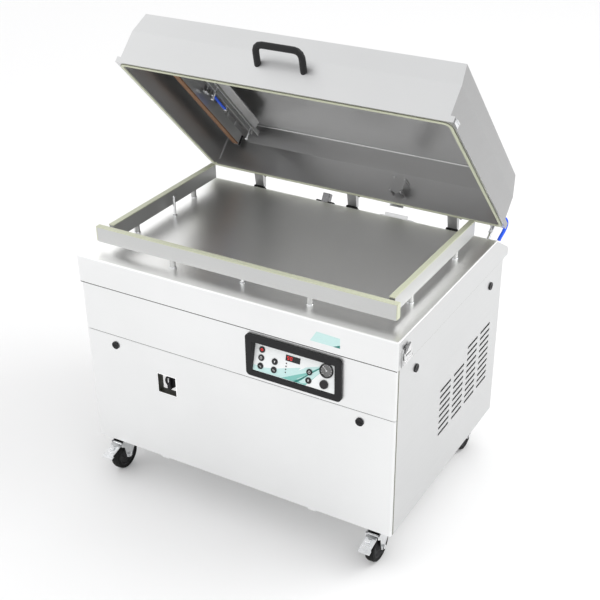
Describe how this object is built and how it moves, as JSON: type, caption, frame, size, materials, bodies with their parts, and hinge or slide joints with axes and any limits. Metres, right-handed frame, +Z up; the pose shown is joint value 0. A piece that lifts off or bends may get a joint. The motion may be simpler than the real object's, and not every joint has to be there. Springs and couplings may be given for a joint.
{
  "type": "vacuum sealer",
  "caption": "Floor-standing chamber vacuum sealer: hinged lid on gas struts, flat steel deck with sealing bars, control console, vented cabinet on swivel casters.",
  "frame": {"origin": "on the floor, under the middle of the bounding box at rest (lid open)", "axes": "+X to the machine's right seen from its front, +Y to its back, +Z up"},
  "size_m": [1.2754, 1.0686, 1.6724],
  "materials": {
    "stainless": "fine satin brush",
    "deck_steel": "brushed, soft reflections",
    "anodised": "satin anodised",
    "chrome": "polished",
    "black_plastic": "fine satin black",
    "wheel_rubber": "matt black",
    "silicone": "pale matt silicone",
    "blue_hose": "glossy blue",
    "fascia_foil": "printed matt foil",
    "machinery": "painted castings"
  },
  "bodies": {
    "cabinet": {"deck_plate": "deck_steel", "chassis": "stainless", "front_upper_panel": "stainless", "front_lower_panel": "stainless", "right_panel": "stainless", "left_panel": "stainless", "rear_panel": "stainless", "control_bezel": "black_plastic", "control_fascia": "fascia_foil", "gauge_case": "black_plastic", "switch_plate": "stainless", "counter_bar_front": "anodised", "counter_bar_left": "anodised", "counter_bar_right": "anodised", "silicone_strip_front": "silicone", "silicone_strip_left": "silicone", "silicone_strip_right": "silicone", "latch_base": "chrome", "vacuum_pump": "machinery", "seal_transformer": "machinery", "lid_air_hose": "blue_hose"},
    "lid": {"lid_shell": "stainless", "lid_gasket": "silicone", "lid_handle": "black_plastic", "lid_keeper": "chrome", "baffle_plate": "chrome", "hinge_frame": "stainless"},
    "seal_bar_front": {"seal_bar_front": "anodised"},
    "seal_bar_left": {"seal_bar_left": "anodised"},
    "seal_bar_right": {"seal_bar_right": "anodised"},
    "gas_cylinder": {"gas_cylinder": "black_plastic"},
    "gas_rod": {"gas_rod": "chrome"},
    "caster_front_left": {"caster_fork_front_left": "chrome"},
    "wheel_front_left": {"caster_wheel_front_left": "wheel_rubber"},
    "pedal_front_left": {"brake_pedal_front_left": "chrome"},
    "caster_front_right": {"caster_fork_front_right": "chrome"},
    "wheel_front_right": {"caster_wheel_front_right": "wheel_rubber"},
    "pedal_front_right": {"brake_pedal_front_right": "chrome"},
    "caster_rear_left": {"caster_fork_rear_left": "chrome"},
    "wheel_rear_left": {"caster_wheel_rear_left": "wheel_rubber"},
    "caster_rear_right": {"caster_fork_rear_right": "chrome"},
    "wheel_rear_right": {"caster_wheel_rear_right": "wheel_rubber"},
    "lock_front_left": {"panel_lock_front_left": "black_plastic"},
    "lock_front_right": {"panel_lock_front_right": "black_plastic"},
    "lock_side_front": {"panel_lock_side_front": "black_plastic"},
    "lock_side_rear": {"panel_lock_side_rear": "black_plastic"},
    "key_1": {"key_1": "black_plastic"},
    "key_2": {"key_2": "black_plastic"},
    "key_3": {"key_3": "black_plastic"},
    "key_4": {"key_4": "black_plastic"},
    "key_5": {"key_5": "black_plastic"},
    "key_6": {"key_6": "black_plastic"},
    "key_7": {"key_7": "black_plastic"},
    "stop_button": {"stop_button": "black_plastic"},
    "gauge_needle": {"gauge_needle": "black_plastic"},
    "switch_knob": {"switch_knob": "black_plastic"},
    "latch_lever": {"latch_lever": "chrome"},
    "latch_hook": {"latch_hook": "chrome"}
  },
  "joints": [
    {"name": "lid_hinge", "type": "hinge", "parent": "cabinet", "child": "lid", "pos_m": [-0.00365, 0.3858, 0.8656], "axis": [1, 0, 0], "range_deg": [0, 46], "stiffness_Nm_per_rad": 150, "springref_deg": -65.89},
    {"name": "seal_bar_front_slide", "type": "slide", "parent": "lid", "child": "seal_bar_front", "axis": [0, -0.7193, -0.6947], "range_m": [0, 0.01], "stiffness_N_per_m": 3000, "springref_m": -0.014},
    {"name": "seal_bar_left_slide", "type": "slide", "parent": "lid", "child": "seal_bar_left", "axis": [0, -0.7193, -0.6947], "range_m": [0, 0.01], "stiffness_N_per_m": 3000, "springref_m": -0.014},
    {"name": "seal_bar_right_slide", "type": "slide", "parent": "lid", "child": "seal_bar_right", "axis": [0, -0.7193, -0.6947], "range_m": [0, 0.01], "stiffness_N_per_m": 3000, "springref_m": -0.014},
    {"name": "gas_cylinder_pivot", "type": "hinge", "parent": "cabinet", "child": "gas_cylinder", "pos_m": [0.57135, 0.106, 0.72], "axis": [1, 0, 0], "range_deg": [0, 6.4]},
    {"name": "gas_rod_slide", "type": "slide", "parent": "gas_cylinder", "child": "gas_rod", "axis": [0, 0.8281, 0.5606], "range_m": [-0.0445, 0]},
    {"name": "swivel_front_left", "type": "hinge", "parent": "cabinet", "child": "caster_front_left", "pos_m": [-0.55565, -0.39, 0.1493], "axis": [0, 0, 1], "continuous": true},
    {"name": "wheel_front_left_spin", "type": "hinge", "parent": "caster_front_left", "child": "wheel_front_left", "pos_m": [-0.55565, -0.43, 0.0625], "axis": [1, 0, 0], "continuous": true},
    {"name": "pedal_front_left_press", "type": "hinge", "parent": "caster_front_left", "child": "pedal_front_left", "pos_m": [-0.55565, -0.46, 0.124], "axis": [1, 0, 0], "range_deg": [0, 14]},
    {"name": "swivel_front_right", "type": "hinge", "parent": "cabinet", "child": "caster_front_right", "pos_m": [0.54835, -0.39, 0.1493], "axis": [0, 0, 1], "continuous": true},
    {"name": "wheel_front_right_spin", "type": "hinge", "parent": "caster_front_right", "child": "wheel_front_right", "pos_m": [0.54835, -0.43, 0.0625], "axis": [1, 0, 0], "continuous": true},
    {"name": "pedal_front_right_press", "type": "hinge", "parent": "caster_front_right", "child": "pedal_front_right", "pos_m": [0.54835, -0.46, 0.124], "axis": [1, 0, 0], "range_deg": [0, 14]},
    {"name": "swivel_rear_left", "type": "hinge", "parent": "cabinet", "child": "caster_rear_left", "pos_m": [-0.55565, 0.366, 0.1493], "axis": [0, 0, 1], "continuous": true},
    {"name": "wheel_rear_left_spin", "type": "hinge", "parent": "caster_rear_left", "child": "wheel_rear_left", "pos_m": [-0.55565, 0.326, 0.0625], "axis": [1, 0, 0], "continuous": true},
    {"name": "swivel_rear_right", "type": "hinge", "parent": "cabinet", "child": "caster_rear_right", "pos_m": [0.54835, 0.366, 0.1493], "axis": [0, 0, 1], "continuous": true},
    {"name": "wheel_rear_right_spin", "type": "hinge", "parent": "caster_rear_right", "child": "wheel_rear_right", "pos_m": [0.54835, 0.326, 0.0625], "axis": [1, 0, 0], "continuous": true},
    {"name": "lock_front_left_turn", "type": "hinge", "parent": "cabinet", "child": "lock_front_left", "pos_m": [-0.50165, -0.4735, 0.59], "axis": [0, 1, 0], "range_deg": [0, 90]},
    {"name": "lock_front_right_turn", "type": "hinge", "parent": "cabinet", "child": "lock_front_right", "pos_m": [0.49435, -0.4735, 0.59], "axis": [0, 1, 0], "range_deg": [0, 90]},
    {"name": "lock_side_front_turn", "type": "hinge", "parent": "cabinet", "child": "lock_side_front", "pos_m": [0.62085, -0.329, 0.757], "axis": [-1, 0, 0], "range_deg": [0, 90]},
    {"name": "lock_side_rear_turn", "type": "hinge", "parent": "cabinet", "child": "lock_side_rear", "pos_m": [0.62085, 0.309, 0.757], "axis": [-1, 0, 0], "range_deg": [0, 90]},
    {"name": "key_1_press", "type": "slide", "parent": "cabinet", "child": "key_1", "axis": [0, 0.9681, -0.2507], "range_m": [0, 0.002], "stiffness_N_per_m": 400, "springref_m": -0.001},
    {"name": "key_2_press", "type": "slide", "parent": "cabinet", "child": "key_2", "axis": [0, 0.9681, -0.2507], "range_m": [0, 0.002], "stiffness_N_per_m": 400, "springref_m": -0.001},
    {"name": "key_3_press", "type": "slide", "parent": "cabinet", "child": "key_3", "axis": [0, 0.9681, -0.2507], "range_m": [0, 0.002], "stiffness_N_per_m": 400, "springref_m": -0.001},
    {"name": "key_4_press", "type": "slide", "parent": "cabinet", "child": "key_4", "axis": [0, 0.9681, -0.2507], "range_m": [0, 0.002], "stiffness_N_per_m": 400, "springref_m": -0.001},
    {"name": "key_5_press", "type": "slide", "parent": "cabinet", "child": "key_5", "axis": [0, 0.9681, -0.2507], "range_m": [0, 0.002], "stiffness_N_per_m": 400, "springref_m": -0.001},
    {"name": "key_6_press", "type": "slide", "parent": "cabinet", "child": "key_6", "axis": [0, 0.9681, -0.2507], "range_m": [0, 0.002], "stiffness_N_per_m": 400, "springref_m": -0.001},
    {"name": "key_7_press", "type": "slide", "parent": "cabinet", "child": "key_7", "axis": [0, 0.9681, -0.2507], "range_m": [0, 0.002], "stiffness_N_per_m": 400, "springref_m": -0.001},
    {"name": "stop_button_press", "type": "slide", "parent": "cabinet", "child": "stop_button", "axis": [0, 0.9681, -0.2507], "range_m": [0, 0.004], "stiffness_N_per_m": 400, "springref_m": -0.001},
    {"name": "gauge_needle_turn", "type": "hinge", "parent": "cabinet", "child": "gauge_needle", "pos_m": [0.36465, -0.46212, 0.74026], "axis": [0, 0.9681, -0.2507], "range_deg": [0, 270]},
    {"name": "switch_knob_turn", "type": "hinge", "parent": "cabinet", "child": "switch_knob", "pos_m": [-0.28365, -0.4428, 0.486], "axis": [0, 1, 0], "range_deg": [0, 90]},
    {"name": "latch_lever_swing", "type": "hinge", "parent": "cabinet", "child": "latch_lever", "pos_m": [0.63315, -0.423, 0.845], "axis": [0, 1, 0], "range_deg": [0, 100]},
    {"name": "latch_hook_swing", "type": "hinge", "parent": "latch_lever", "child": "latch_hook", "pos_m": [0.63315, -0.423, 0.872], "axis": [0, 1, 0], "range_deg": [0, 60]}
  ],
  "couplings": [
    {"joint": "gas_cylinder_pivot", "follows": "lid_hinge", "ratio": 0.13696},
    {"joint": "gas_rod_slide", "follows": "lid_hinge", "m_per_rad": -0.05505}
  ]
}
